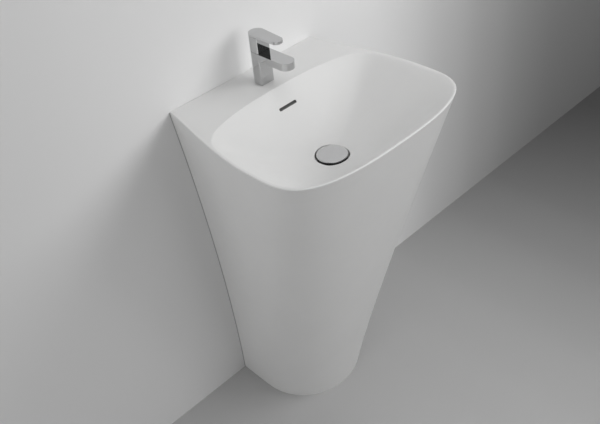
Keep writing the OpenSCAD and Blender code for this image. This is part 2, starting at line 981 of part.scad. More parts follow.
module aerator_insert() {
    hole_d = 2.4;
    pitch = 3.6;
    color(plastic)
        at_tap(column_top - spout_t + 1)
            translate([0, aerator_y, 0])
                difference() {
                    cylinder(d = aerator_d - 5 - 2 * slack, h = 4);
                    for (row = [-2 : 2])
                        for (place = [-(4 - abs(row)) / 2 : (4 - abs(row)) / 2])
                            translate([place * pitch, row * pitch * sin(60), -1])
                                cylinder(d = hole_d, h = 6);
                }
}

module tap_cartridge() {
    color(plastic)
        at_tap(cartridge_low)
            difference() {
                union() {
                    cylinder(d = cartridge_d, h = nut_low - cartridge_low);
                    cylinder(d = cartridge_neck_d, h = neck_top - cartridge_low);
                }
                translate([0, 0, turret_z - cartridge_low])
                    cylinder(d = turret_d + 2 * slack, h = neck_top - turret_z + 1);
            }
}

module cartridge_nut() {
    color(black)
        at_tap(nut_low)
            ring(nut_d, cartridge_neck_d + 2 * slack, nut_h);
}

// The turret turns with the lever; its slot lets the stem tip backwards and forwards
module cartridge_turret() {
    slot = stem_d + 2 * slack;
    color(steel)
        at_tap(turret_z)
            difference() {
                cylinder(d = turret_d, h = neck_top - turret_z);
                translate([-slot / 2, -turret_d / 2 + 1.5, 1])
                    cube([slot, turret_d - 3, neck_top - turret_z]);
                translate([0, 0, lever_z - turret_z])
                    rotate([0, 90, 0])
                        cylinder(d = pin_hole, h = turret_d + 1, center = true);
            }
}

module cartridge_stem() {
    color(steel)
        difference() {
            at_tap(stem_low)
                cylinder(d = stem_d, h = stem_top - stem_low);
            at_tap(lever_z)
                rotate([0, 90, 0])
                    cylinder(d = pin_hole, h = stem_d + 1, center = true);
        }
}

// The stem tips on this pin, which lies across the turret
module stem_pin() {
    color(steel)
        at_tap(lever_z)
            rotate([0, 90, 0])
                cylinder(d = pin_d, h = turret_d - 1, center = true);
}

module tap_lever() {
    tip_r = lever_tip_w / 2;
    color(steel)
        difference() {
            at_tap(0)
                union() {
                    translate([0, 0, lever_z])
                        linear_extrude(lever_block_h + 1)
                            column_plan(block_front);
                    translate([0, 0, plate_z])
                        linear_extrude(lever_t)
                            plate_plan(lever_dist - tap_dist - tip_r, tip_r);
                }
            at_tap(lever_z - 1)
                cylinder(d = cavity_d, h = cavity_h + 1);
            at_tap(lever_solid_z - 1)
                cylinder(d = stem_d + 2 * slack, h = stem_top - lever_solid_z + 1);
            at_tap(screw_z)
                rotate([90, 0, 0])
                    cylinder(d = screw_d + 2 * slack, h = column_w);
            at_tap(lever_z)
                rotate([lever_lift, 0, 0])
                    translate([-column_w, 0, -lever_block_h])
                        cube([2 * column_w, 2 * column_w, lever_block_h]);
        }
}

module lever_screw() {
    start = stem_d / 2 + slack;
    color(black)
        at_tap(screw_z)
            translate([0, -start, 0])
                rotate([90, 0, 0])
                    cylinder(d = screw_d, h = screw_len);
}

module lever_plug() {
    color(steel)
        at_tap(screw_z)
            translate([0, -block_front + plug_len, 0])
                rotate([90, 0, 0])
                    cylinder(d = screw_d, h = plug_len);
}

module tap_stud() {
    color(brass)
        at_tap(stud_low)
            translate([0, stud_y, 0])
                cylinder(d = stud_d, h = tap_base + port_depth - 2 - stud_low);
}

module horseshoe(t, d) {
    gap = 2 * port_x + port_d + 4;
    difference() {
        cylinder(d = d, h = t);
        translate([-gap / 2, -d, -1])
            cube([gap, d + port_y + 7, t + 2]);
        translate([0, stud_y, -1])
            cylinder(d = stud_d + 2 * thread_slack, h = t + 2);
    }
}

module tap_horseshoe_seal() {
    color(black)
        at_tap(rim_h - deck_t - horseshoe_t)
            horseshoe(horseshoe_t, horseshoe_d);
}

module tap_horseshoe() {
    color(steel)
        at_tap(rim_h - deck_t - 2 * horseshoe_t)
            horseshoe(horseshoe_t, horseshoe_d - 2);
}

module tap_clamp_nut() {
    h = 12;
    color(brass)
        at_tap(rim_h - deck_t - 2 * horseshoe_t - h)
            translate([0, stud_y, 0])
                difference() {
                    cylinder(d = 15, h = h, $fn = 6);
                    translate([0, 0, -1])
                        cylinder(d = stud_d + 2 * thread_slack, h = h + 2);
                }
}

// ---- Supply -----------------------------------------------------------------------------

valve_reach = 48;
valve_neck_h = 34;
valve_neck_d = 16;
valve_y = wall_y - valve_reach;
ferrule_d = 12;
ferrule_h = 20;
hose_nut_d = 24;
hose_nut_h = 16;
hose_nut_z = valve_h + valve_neck_h - 12;
ferrule_z = hose_nut_z + hose_nut_h;
tail_low = rim_h - deck_t - 26;
hose_end_z = ferrule_z + ferrule_h;
hose_start_z = tail_low - 20;
hose_bend_z = hose_end_z + 24;

// Places on the way of a hose: share of the way across to the valve, distance from the wall
// and share of the way down
hose_way = [[0.16, 66, 0.2], [0.54, 72, 0.44], [0.86, 66, 0.66]];

// Route of the cold hose, from the tap down to its stop valve; the hot one mirrors it
hose_route = concat(
    [[port_x, tap_y + port_y, tail_low], [port_x, tap_y + port_y, hose_start_z]],
    [
        for (w = hose_way)
            [
                mix(port_x, valve_x, w[0]), wall_y - w[1],
                mix(hose_start_z, hose_bend_z, w[2])
            ]
    ],
    [[valve_x, valve_y, hose_bend_z], [valve_x, valve_y, hose_end_z]]
);

overlap = 12;
overflow_top = housing_low - spigot_len;
overflow_start_z = overflow_top - overlap;
overflow_route = [
    [0, spigot_y, overflow_top + overlap], [0, spigot_y, overflow_start_z],
    [0, spigot_y - 4, mix(overflow_start_z, collar_mid, 0.3)],
    [0, spigot_y - 22, mix(overflow_start_z, collar_mid, 0.7)],
    [0, collar_spigot_end + 20, collar_mid], [0, collar_spigot_end - overlap, collar_mid]
];

// Points of a smooth curve through the route
function curve_at(a, b, c, d, s) =
    0.5 * (2 * b + (c - a) * s + (2 * a - 5 * b + 4 * c - d) * s * s
        + (3 * b - a - 3 * c + d) * s * s * s);
function smooth_route(route, parts) =
    let(n = len(route))
    concat(
        [
            for (i = [0 : n - 2])
                for (k = [0 : parts - 1])
                    curve_at(
                        i == 0 ? 2 * route[0] - route[1] : route[i - 1],
                        route[i], route[i + 1],
                        i == n - 2 ? 2 * route[n - 1] - route[n - 2] : route[i + 2],
                        k / parts
                    )
        ],
        [route[n - 1]]
    );
function headings(p, first, last) =
    let(n = len(p))
    [
        for (i = [0 : n - 1])
            i == 0 ? unit(first) : i == n - 1 ? unit(last) : unit(p[i + 1] - p[i - 1])
    ];

// Side directions carried along the route without twist
function carried(t, i, side) =
    let(here = unit(side - (side * t[i]) * t[i]))
    i == len(t) - 1 ? [here] : concat([here], carried(t, i + 1, here));

module hose(route, d) {
    sides = 10;
    p = smooth_route(route, 4);
    ends = len(route) - 1;
    t = headings(p, route[1] - route[0], route[ends] - route[ends - 1]);
    u = carried(t, 0, [1, 0, 0]);
    n = len(p);
    r = d / 2 / cos(180 / sides);
    points = [
        for (i = [0 : n - 1])
            for (k = [0 : sides - 1])
                let(a = 360 * k / sides)
                p[i] + r * (cos(a) * u[i] - sin(a) * cross(t[i], u[i]))
    ];
    walls = [for (i = [0 : n - 2]) each band(i * sides, (i + 1) * sides, sides)];
    start = [for (k = [1 : sides - 2]) [0, k + 1, k]];
    last = (n - 1) * sides;
    finish = [for (f = start) [last + f[0], last + f[2], last + f[1]]];
    polyhedron(points, concat(walls, start, finish));
}

module hot_hose() {
    color(steel)
        mirror([1, 0, 0])
            hose(hose_route, hose_d);
}

module cold_hose() {
    color(steel)
        hose(hose_route, hose_d);
}

module overflow_hose() {
    color(plastic)
        difference() {
            hose(overflow_route, overflow_hose_d);
            translate([0, spigot_y, overflow_top - slack])
                cylinder(d = spigot_d + 2 * slack, h = 2 * overlap);
            translate([0, collar_spigot_end + slack, collar_mid])
                rotate([90, 0, 0])
                    cylinder(d = spigot_d + 2 * slack, h = 2 * overlap);
        }
}

module each_side() {
    for (side = [-1, 1])
        translate([side * valve_x, valve_y, 0])
            children();
}

module hose_tails() {
    crimp_h = 14;
    color(steel) {
        each_side()
            translate([0, 0, ferrule_z])
                cylinder(d = ferrule_d, h = ferrule_h);
        for (side = [-1, 1])
            at_tap(tail_low)
                translate([side * port_x, port_y, 0]) {
                    cylinder(d = ferrule_d, h = crimp_h);
                    cylinder(d = port_d - 2 * slack, h = tap_base + port_depth - 2 - tail_low);
                }
    }
}

module hose_nuts() {
    color(steel)
        each_side()
            translate([0, 0, hose_nut_z])
                difference() {
                    cylinder(d = hose_nut_d, h = hose_nut_h, $fn = 6);
                    translate([0, 0, -1])
                        cylinder(d = valve_neck_d + 2 * slack, h = hose_nut_h - 3);
                    translate([0, 0, -1])
                        cylinder(d = ferrule_d - 4, h = hose_nut_h + 2);
                }
}

valve_tail_d = 24;
valve_hole_d = 18.6;
valve_body_len = valve_reach + valve_tail_d / 2;
valve_front_y = wall_y - valve_body_len;
valve_stem_d = 8;
valve_stem_len = 7;
valve_bore_d = 8;
valve_chamber_d = 10;
valve_inlet_len = 18;
handle_gap = 0.8;
handle_h = 14;
wing_t = 8;

module stop_valve(x) {
    color(steel)
        difference() {
            union() {
                translate([x, wall_y, valve_h])
                    rotate([90, 0, 0])
                        cylinder(d = valve_tail_d, h = valve_body_len);
                translate([x, valve_y, valve_h])
                    cylinder(d = valve_neck_d, h = valve_neck_h);
                translate([x, valve_front_y + 1, valve_h])
                    rotate([90, 0, 0])
                        cylinder(d = valve_stem_d, h = valve_stem_len + 1);
            }
            translate([x, wall_y + 1, valve_h])
                rotate([90, 0, 0])
                    cylinder(d = valve_hole_d, h = valve_inlet_len + 1);
            translate([x, valve_y, valve_h])
                cylinder(d = valve_bore_d, h = valve_neck_h + 1);
            translate([x, wall_y + 1, valve_h])
                rotate([90, 0, 0])
                    cylinder(d = valve_chamber_d, h = valve_reach + 1);
        }
}

module hot_valve() {
    stop_valve(-valve_x);
}

module cold_valve() {
    stop_valve(valve_x);
}

module valve_handle(x) {
    h = handle_h;
    wing = 1.5 * handle_d;
    color(steel)
        translate([x, valve_front_y - handle_gap, valve_h])
            rotate([90, 0, 0])
                difference() {
                    union() {
                        cylinder(d = handle_d * 0.7, h = h);
                        translate([-wing / 2, -wing_t / 2, h - wing_t])
                            cube([wing, wing_t, wing_t]);
                        for (side = [-1, 1])
                            translate([side * wing / 2, 0, h - wing_t])
                                cylinder(d = wing_t, h = wing_t);
                    }
                    translate([0, 0, -1])
                        cylinder(d = valve_stem_d + slack, h = valve_stem_len + 1);
                }
}

module hot_valve_handle() {
    valve_handle(-valve_x);
}

module cold_valve_handle() {
    valve_handle(valve_x);
}

module valve_rosettes() {
    color(steel)
        for (side = [-1, 1])
            translate([side * valve_x, wall_y, valve_h])
                rotate([90, 0, 0])
                    wall_plate(valve_rosette_d, valve_tail_d + 2 * slack, 8);
}

pedestal_shell();
basin_bowl();
overflow_housing();
overflow_gasket();
overflow_hose();
waste_body();
waste_gasket();
waste_under_washer();
overflow_collar();
waste_backnut();
plug_cap();
plug_seal();
plug_spindle();
click_cartridge();
trap_inlet_nut();
trap_inlet_pipe();
trap_head_nut();
trap_head_washer();
trap_body();
trap_cup_seal();
trap_cup();
trap_outlet_nut();
trap_outlet_washer();
outlet_pipe();
outlet_rosette();
tap_body();
tap_base_seal();
aerator_housing();
aerator_insert();
tap_cartridge();
cartridge_nut();
cartridge_turret();
cartridge_stem();
stem_pin();
tap_lever();
lever_screw();
lever_plug();
tap_stud();
tap_horseshoe_seal();
tap_horseshoe();
tap_clamp_nut();
hot_hose();
cold_hose();
hose_tails();
hose_nuts();
hot_valve();
cold_valve();
hot_valve_handle();
cold_valve_handle();
valve_rosettes();
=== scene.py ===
"""Castings, hoses, finishes, stage, light and camera for the back-to-wall pedestal sink."""

import json
import math

import bmesh
import bpy
from mathutils import Matrix, Vector

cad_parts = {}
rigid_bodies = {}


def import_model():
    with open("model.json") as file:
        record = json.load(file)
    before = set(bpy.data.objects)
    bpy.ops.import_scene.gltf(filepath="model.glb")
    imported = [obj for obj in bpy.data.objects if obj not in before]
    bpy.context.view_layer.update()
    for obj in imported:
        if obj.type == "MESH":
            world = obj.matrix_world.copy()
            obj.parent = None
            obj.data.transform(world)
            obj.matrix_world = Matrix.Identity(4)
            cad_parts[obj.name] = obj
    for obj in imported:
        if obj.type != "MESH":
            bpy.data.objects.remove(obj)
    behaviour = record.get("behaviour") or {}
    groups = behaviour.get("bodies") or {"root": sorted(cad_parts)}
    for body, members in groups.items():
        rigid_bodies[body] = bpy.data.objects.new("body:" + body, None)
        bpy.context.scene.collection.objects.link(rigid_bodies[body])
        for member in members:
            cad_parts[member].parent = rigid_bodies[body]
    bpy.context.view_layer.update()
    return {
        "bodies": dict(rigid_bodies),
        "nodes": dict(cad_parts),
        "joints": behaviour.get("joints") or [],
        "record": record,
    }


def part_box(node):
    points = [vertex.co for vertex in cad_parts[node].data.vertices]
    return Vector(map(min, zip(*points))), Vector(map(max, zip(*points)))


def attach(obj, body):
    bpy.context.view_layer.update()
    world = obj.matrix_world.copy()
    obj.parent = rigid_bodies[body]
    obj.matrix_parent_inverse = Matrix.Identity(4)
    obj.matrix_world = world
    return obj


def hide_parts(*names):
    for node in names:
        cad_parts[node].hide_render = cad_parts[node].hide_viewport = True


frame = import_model()

NODES = frame["nodes"]
SLOTS = {part["node"]: part["material_slot"] for part in frame["record"]["subparts"]}
BODIES = {
    node: body
    for body, members in frame["record"]["behaviour"]["bodies"].items()
    for node in members
}

# The castings' back, which stands against the wall
WALL_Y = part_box("pedestal_shell")[1].y


def link_object(name, data):
    thing = bpy.data.objects.new(name, data)
    bpy.context.scene.collection.objects.link(thing)
    return thing


def link_mesh(name, mesh, *materials):
    """Puts a finished mesh in the scene with its materials."""
    data = bpy.data.meshes.new(name)
    mesh.to_mesh(data)
    mesh.free()
    for material in materials:
        data.materials.append(material)
    return link_object(name, data)


# ---- Camera -----------------------------------------------------------------------------

VIEW_FROM = Vector((-1.01185, -1.07356, 1.73553))
VIEW_YAW = math.radians(41.03)
VIEW_PITCH = math.radians(38.19)
VIEW_ROLL = math.radians(-6.37)
LENS_MM = 50
SENSOR_MM = 36
CLIP_NEAR, CLIP_FAR = 0.05, 40


def place_camera():
    """The camera stands at the left of the sink, looks down on it and is rolled slightly."""
    data = bpy.data.cameras.new("view")
    data.lens = LENS_MM
    data.sensor_width = SENSOR_MM
    data.clip_start = CLIP_NEAR
    data.clip_end = CLIP_FAR
    camera = link_object("view", data)
    camera.matrix_world = (
        Matrix.Translation(VIEW_FROM)
        @ Matrix.Rotation(-VIEW_YAW, 4, "Z")
        @ Matrix.Rotation(math.pi / 2 - VIEW_PITCH, 4, "X")
        @ Matrix.Rotation(VIEW_ROLL, 4, "Z")
    )
    bpy.context.scene.camera = camera


# ---- Shader building --------------------------------------------------------------------

# A Mix node's colour sockets, which share their names with its number sockets
MIX_SHARE, MIX_FIRST, MIX_SECOND, MIX_RESULT = 0, 6, 7, 2
FLOAT, COLOUR = "NodeSocketFloat", "NodeSocketColor"


def grey(value):
    return (value, value, value, 1.0)


class Shader:
    """A node tree that is filled one node at a time."""

    def __init__(self, tree):
        self.tree = tree

    def add(self, kind, inputs=None, **settings):
        node = self.tree.nodes.new(kind)
        for key, value in settings.items():
            setattr(node, key, value)
        for key, value in (inputs or {}).items():
            self.feed(node.inputs[key], value)
        return node

    def feed(self, socket, value):
        """Links a socket to another, or sets it to a plain value."""
        if isinstance(value, bpy.types.NodeSocket):
            self.tree.links.new(value, socket)
        else:
            socket.default_value = value

    def position(self, stretch=(1.0, 1.0, 1.0)):
        """Object coordinates, multiplied by one factor for each axis."""
        coordinates = self.add("ShaderNodeTexCoord").outputs["Object"]
        mapping = self.add("ShaderNodeMapping", {"Vector": coordinates, "Scale": stretch})
        return mapping.outputs[0]

    def noise(self, place, scale, detail=3.0, roughness=0.5):
        return self.add(
            "ShaderNodeTexNoise",
            {"Vector": place, "Scale": scale, "Detail": detail, "Roughness": roughness},
        ).outputs["Fac"]

    def spread(self, value, limits, onto=(0.0, 1.0)):
        """Stretches a value between two limits onto another range."""
        low, high = limits
        to_low, to_high = onto
        return self.add(
            "ShaderNodeMapRange",
            {
                "Value": value, "From Min": low, "From Max": high,
                "To Min": to_low, "To Max": to_high,
            },
        ).outputs[0]

    def blend(self, share, first, second):
        """The first colour, turning into the second as the share rises."""
        node = self.add("ShaderNodeMix", data_type="RGBA")
        self.feed(node.inputs[MIX_SHARE], share)
        self.feed(node.inputs[MIX_FIRST], first)
        self.feed(node.inputs[MIX_SECOND], second)
        return node.outputs[MIX_RESULT]

    def toned(self, colour, factor):
        """A colour made lighter or darker by a factor."""
        node = self.add("ShaderNodeHueSaturation", {"Color": colour, "Value": factor})
        return node.outputs[0]

    def maths(self, operation, *values):
        node = self.add("ShaderNodeMath", operation=operation)
        for socket, value in zip(node.inputs, values):
            self.feed(socket, value)
        return node.outputs[0]

    def total(self, first, *others):
        for value in others:
            first = self.maths("ADD", first, value)
        return first

    def product(self, first, *others):
        for value in others:
            first = self.maths("MULTIPLY", first, value)
        return first

    def graded(self, value, stops):
        """A grey that passes through the tones given at rising values."""
        low, high = stops[0][0], stops[-1][0]
        ramp = self.add("ShaderNodeValToRGB", {"Fac": self.spread(value, (low, high))})
        ramp.color_ramp.interpolation = "CARDINAL"
        marks = ramp.color_ramp.elements
        marks[0].color = grey(stops[0][1])
        marks[-1].color = grey(stops[-1][1])
        for place, tone in stops[1:-1]:
            marks.new((place - low) / (high - low)).color = grey(tone)
        return ramp.outputs[0]

    def bump(self, height, distance):
        return self.add("ShaderNodeBump", {"Height": height, "Distance": distance}).outputs[0]


def new_group(name, inputs):
    """A node group for one kind of finish, whose inputs start at the values given.

    Returns the group, its shader, the sockets that bring its inputs in, and the sockets that
    take its colour, roughness and height out.
    """
    group = bpy.data.node_groups.new(name, "ShaderNodeTree")
    for label, value in inputs.items():
        kind = COLOUR if isinstance(value, tuple) else FLOAT
        socket = group.interface.new_socket(label, in_out="INPUT", socket_type=kind)
        socket.default_value = value
    for label, kind in (("Color", COLOUR), ("Roughness", FLOAT), ("Height", FLOAT)):
        group.interface.new_socket(label, in_out="OUTPUT", socket_type=kind)
    shader = Shader(group)
    brought_in = shader.add("NodeGroupInput").outputs
    taken_out = shader.add("NodeGroupOutput").inputs
    return group, shader, brought_in, taken_out


# ---- Finishes ---------------------------------------------------------------------------

def mineral_group():
    """Cast mineral: fine pale flecks in a slightly cloudy body, with a sanded surface."""
    group, shader, inputs, outputs = new_group(
        "cast_mineral",
        {"Body": grey(0.8), "Fleck": grey(0.9), "Cloud": 0.02, "Roughness": 0.4},
    )
    place = shader.position()
    clouds = shader.noise(place, scale=7.0, detail=4.0, roughness=0.55)
    grain = shader.noise(place, scale=1500.0, detail=2.0, roughness=0.6)
    flecks = shader.add("ShaderNodeTexVoronoi", {"Vector": place, "Scale": 520.0})
    fleck_share = shader.spread(flecks.outputs["Distance"], (0.12, 0.3), onto=(0.35, 0.0))
    body = shader.blend(fleck_share, inputs["Body"], inputs["Fleck"])
    cloudy = shader.spread(clouds, (0.3, 0.7), onto=(-1.0, 1.0))
    shade = shader.product(cloudy, inputs["Cloud"])
    shader.feed(outputs["Color"], shader.toned(body, shader.total(shade, 1.0)))
    streaks = shader.noise(place, scale=55.0, roughness=0.6)
    worn = shader.spread(streaks, (0.35, 0.65), onto=(-0.05, 0.05))
    shader.feed(outputs["Roughness"], shader.total(inputs["Roughness"], worn))
    shader.feed(outputs["Height"], grain)
    return group


def plating_group():
    """Plated metal: faint wiping marks and dried water films in the polish."""
    group, shader, inputs, outputs = new_group(
        "plating", {"Metal": grey(0.8), "Film": 0.03, "Roughness": 0.06}
    )
    upright_streaks = shader.position((1.0, 1.0, 0.15))
    wipes = shader.noise(upright_streaks, scale=420.0, roughness=0.6)
    films = shader.noise(shader.position(), scale=38.0, detail=4.0, roughness=0.6)
    film_share = shader.spread(films, (0.52, 0.72))
    shade = shader.product(film_share, inputs["Film"])
    dimmed = shader.maths("SUBTRACT", 1.0, shade)
    shader.feed(outputs["Color"], shader.toned(inputs["Metal"], dimmed))
    wiped = shader.spread(wipes, (0.4, 0.7), onto=(0.0, 0.03))
    filmed = shader.product(film_share, 0.05)
    shader.feed(outputs["Roughness"], shader.total(wiped, filmed, inputs["Roughness"]))
    shader.feed(outputs["Height"], wipes)
    return group


def moulding_group():
    """Moulded plastic or rubber: a fine spark-eroded skin with soft tonal drift."""
    group, shader, inputs, outputs = new_group(
        "moulding", {"Color": grey(0.8), "Drift": 0.04, "Roughness": 0.5}
    )
    place = shader.position()
    drift = shader.spread(shader.noise(place, scale=24.0), (0.3, 0.7), onto=(-1.0, 1.0))
    shade = shader.product(drift, inputs["Drift"])
    shader.feed(outputs["Color"], shader.toned(inputs["Color"], shader.total(shade, 1.0)))
    skin = shader.noise(place, scale=1800.0, detail=2.0, roughness=0.6)
    uneven = shader.spread(skin, (0.35, 0.65), onto=(-0.06, 0.06))
    shader.feed(outputs["Roughness"], shader.total(inputs["Roughness"], uneven))
    shader.feed(outputs["Height"], skin)
    return group


def braid_group():
    """Steel braid: two sets of flat strands that cross over and under, each of fine wires, with
    painted shade in the low places between strands and wires.
    """
    group, shader, inputs, outputs = new_group(
        "braid",
        {
            "Metal": grey(0.6), "Gap": grey(0.05),
            "Strands": 12.0, "Slant": 400.0, "Wires": 6.0, "Roughness": 0.25,
        },
    )
    surface = shader.add("ShaderNodeUVMap", uv_map="hose_map").outputs["UV"]
    around, along = shader.add("ShaderNodeSeparateXYZ", {"Vector": surface}).outputs[:2]
    turns = shader.product(around, inputs["Strands"])
    climb = shader.product(along, inputs["Slant"])
    places = [shader.maths(way, turns, climb) for way in ("ADD", "SUBTRACT")]
    across = [shader.maths("FRACT", place) for place in places]
    counts = [shader.maths("FLOOR", place) for place in places]
    over = shader.maths("FLOORED_MODULO", shader.total(*counts), 2.0)

    def arch(share):
        """Rises from 0 at a strand's edges to 1 at its middle."""
        return shader.product(share, shader.maths("SUBTRACT", 1.0, share), 4.0)

    def strand(width, length):
        """The height of a strand, from the places across it and along it."""
        crown = shader.maths("POWER", arch(width), 0.35)
        wave = shader.spread(arch(length), (0.0, 1.0), onto=(0.55, 1.0))
        ridges = shader.maths("SINE", shader.product(width, inputs["Wires"], math.pi))
        wires = shader.spread(shader.maths("ABSOLUTE", ridges), (0.0, 1.0), onto=(0.72, 1.0))
        return shader.product(crown, wave, wires)

    first, second = strand(across[0], across[1]), strand(across[1], across[0])
    lift = shader.product(over, shader.maths("SUBTRACT", second, first))
    height = shader.total(first, lift)
    # Painted shade: the colour darkens to the shade tone where the weave is low, between strands
    # and wires
    metal_share = shader.spread(height, (0.2, 0.75))
    shader.feed(outputs["Color"], shader.blend(metal_share, inputs["Gap"], inputs["Metal"]))
    dulled = shader.spread(height, (0.2, 0.9), onto=(0.25, 0.0))
    shader.feed(outputs["Roughness"], shader.total(inputs["Roughness"], dulled))
    shader.feed(outputs["Height"], height)
    return group


GROUPS = {
    "mineral": mineral_group(),
    "plating": plating_group(),
    "moulding": moulding_group(),
    "braid": braid_group(),
}


def finish(name, group, values, bump, metallic=0.0):
    """A material: one finish group that feeds a Principled surface."""
    material = bpy.data.materials.new(name)
    material.use_nodes = True
    material.node_tree.nodes.clear()
    shader = Shader(material.node_tree)
    pattern = shader.add("ShaderNodeGroup", node_tree=GROUPS[group])
    for key, value in values.items():
        pattern.inputs[key].default_value = value
    skin = shader.add(
        "ShaderNodeBsdfPrincipled",
        {
            "Base Color": pattern.outputs["Color"],
            "Roughness": pattern.outputs["Roughness"],
            "Metallic": metallic,
            "Normal": shader.bump(pattern.outputs["Height"], bump),
        },
    )
    shader.add("ShaderNodeOutputMaterial", {"Surface": skin.outputs[0]})
    return material


# One material for each of the record's slots; bump is the depth of the surface in metres
FINISHES = {
    "white_stone": finish(
        "cast_stone", "mineral",
        {
            "Body": (0.79, 0.79, 0.785, 1), "Fleck": grey(0.86),
            "Cloud": 0.012, "Roughness": 0.42,
        },
        bump=0.00002,
    ),
    "chrome": finish(
        "polished_chrome", "plating",
        {"Metal": (0.61, 0.612, 0.615, 1), "Film": 0.04, "Roughness": 0.045},
        bump=0.000002, metallic=1.0,
    ),
    "black_chrome": finish(
        "dark_chrome", "plating",
        {"Metal": (0.12, 0.12, 0.13, 1), "Film": 0.05, "Roughness": 0.1},
        bump=0.000002, metallic=1.0,
    ),
    "steel": finish(
        "machined_steel", "plating",
        {"Metal": (0.6, 0.61, 0.62, 1), "Film": 0.1, "Roughness": 0.24},
        bump=0.00001, metallic=1.0,
    ),
    "brass": finish(
        "machined_brass", "plating",
        {"Metal": (0.72, 0.55, 0.28, 1), "Film": 0.16, "Roughness": 0.26},
        bump=0.00001, metallic=1.0,
    ),
    "white_plastic": finish(
        "white_moulding", "moulding",
        {"Color": (0.78, 0.78, 0.76, 1), "Drift": 0.03, "Roughness": 0.42},
        bump=0.00002,
    ),
    "black_rubber": finish(
        "black_rubber", "moulding",
        {"Color": (0.03, 0.03, 0.032, 1), "Drift": 0.25, "Roughness": 0.68},
        bump=0.00004,
    ),
    # The braid's dark tone is painted shade in the low places of the weave
    "braided_steel": finish(
        "braided_steel", "braid",
        {
            "Metal": (0.62, 0.62, 0.63, 1), "Gap": grey(0.07),
            "Strands": 12.0, "Slant": 398.0, "Wires": 6.0, "Roughness": 0.24,
        },
        bump=0.0003, metallic=1.0,
    ),
}
# The inside of the overflow slot: a dark stone painted on as the shade in it
SLOT_PAINTED_SHADE = finish(
    "slot_painted_shade", "mineral",
    {"Body": (0.2, 0.2, 0.198, 1), "Fleck": grey(0.28), "Cloud": 0.08, "Roughness": 0.7},
    bump=0.0001,
)


def dress_nodes():
    for name, node in NODES.items():
        node.data.materials.clear()
        node.data.materials.append(FINISHES[SLOTS[name]])


# ---- Castings and polished metal --------------------------------------------------------

MERGE_GAP = 0.000004
FACET_ANGLE = math.radians(0.3)
STONE_CREASE = math.radians(32)
METAL_CREASE = math.radians(40)
HOSE_CREASE = math.radians(50)
BEVEL_SEGMENTS = 3
# The overflow slot, in the side of the bowl next to the wall
SLOT_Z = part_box("basin_bowl")[1].z - 0.036
SLOT_HALF_WIDTH = 0.0252
SLOT_HALF_HEIGHT = 0.0029


def merged_copy(node_name):
    """The node's faces, joined into one closed mesh."""
    mesh = bmesh.new()
    mesh.from_mesh(NODES[node_name].data)
    bmesh.ops.remove_doubles(mesh, verts=mesh.verts, dist=MERGE_GAP)
    return mesh


def add_piece(name, mesh, node_name):
    """Stands a finished mesh in for a CAD node, on the same body and in the same slot."""
    slot = SLOTS[node_name]
    piece = link_mesh(name, mesh, FINISHES[slot])
    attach(piece, BODIES[node_name])
    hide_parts(node_name)
    return piece


def shade_smooth(mesh, crease):
    """Smooth faces, with a hard line where two faces meet at more than the crease angle."""
    for face in mesh.faces:
        face.smooth = True
    for edge in mesh.edges:
        edge.smooth = edge.is_manifold and edge.calc_face_angle(math.pi) < crease


def even_normals(piece, weight=50):
    """Lets the larger faces lead the shading, and keeps the hard lines."""
    modifier = piece.modifiers.new("even_normals", "WEIGHTED_NORMAL")
    modifier.keep_sharp = True
    modifier.weight = weight


def cast_skin(node_name, name):
    """The cast stone without facets."""
    mesh = merged_copy(node_name)
    shade_smooth(mesh, STONE_CREASE)
    piece = add_piece(name, mesh, node_name)
    even_normals(piece, weight=80)
    return piece


def paint_slot_shade(casting):
    """Paints the inside of the overflow slot with a dark stone that stands in for the shade
    there.
    """
    casting.data.materials.append(SLOT_PAINTED_SHADE)
    for face in casting.data.polygons:
        across, rise = abs(face.center.x), abs(face.center.z - SLOT_Z)
        if across < SLOT_HALF_WIDTH and rise < SLOT_HALF_HEIGHT and face.center.y > 0:
            face.material_index = 1


def rounded_metal(node_name, radius):
    """A metal part whose outer edges have been eased before plating."""
    mesh = merged_copy(node_name)
    bmesh.ops.dissolve_limit(
        mesh, angle_limit=FACET_ANGLE, verts=mesh.verts, edges=mesh.edges
    )
    edges = [
        edge for edge in mesh.edges
        if edge.is_manifold and edge.is_convex and edge.calc_face_angle() > METAL_CREASE
    ]
    bmesh.ops.bevel(
        mesh, geom=edges, offset=radius, offset_type="OFFSET", segments=BEVEL_SEGMENTS,
        profile=0.5, affect="EDGES", clamp_overlap=True, material=-1,
    )
    shade_smooth(mesh, METAL_CREASE)
    even_normals(add_piece(node_name + "_polished", mesh, node_name))


# ---- Hoses ------------------------------------------------------------------------------

# Routes through the column, in metres: the cold supply hose, and the overflow hose
SUPPLY_ROUTE = [
    (0.0065, 0.158, 0.81), (0.0065, 0.158, 0.79), (0.01826, 0.16, 0.7444),
    (0.04619, 0.154, 0.68968), (0.06971, 0.16, 0.63952), (0.08, 0.178, 0.562),
    (0.08, 0.178, 0.538),
]
OVERFLOW_ROUTE = [
    (0, 0.1243, 0.79), (0, 0.1243, 0.766), (0, 0.1203, 0.7447),
    (0, 0.1023, 0.7163), (0, 0.04, 0.695), (0, 0.008, 0.695),
]
# Steps of the curve between two points of a route, and sides of a hose
CURVE_STEPS = 40
HOSE_SIDES = 24
# Sizes of the hoses, in metres; a ring gap is the length of hose between two rings of faces
SUPPLY_RADIUS = 0.0048
SUPPLY_RING_GAP = 0.003
OVERFLOW_BORE = 0.0081
OVERFLOW_RING_GAP = 0.0007
RIB_RADIUS = 0.0092
RIB_HEIGHT = 0.0008
RIB_PITCH = 0.0042
CUFF_RADIUS = 0.01
CUFF_LENGTH = 0.014


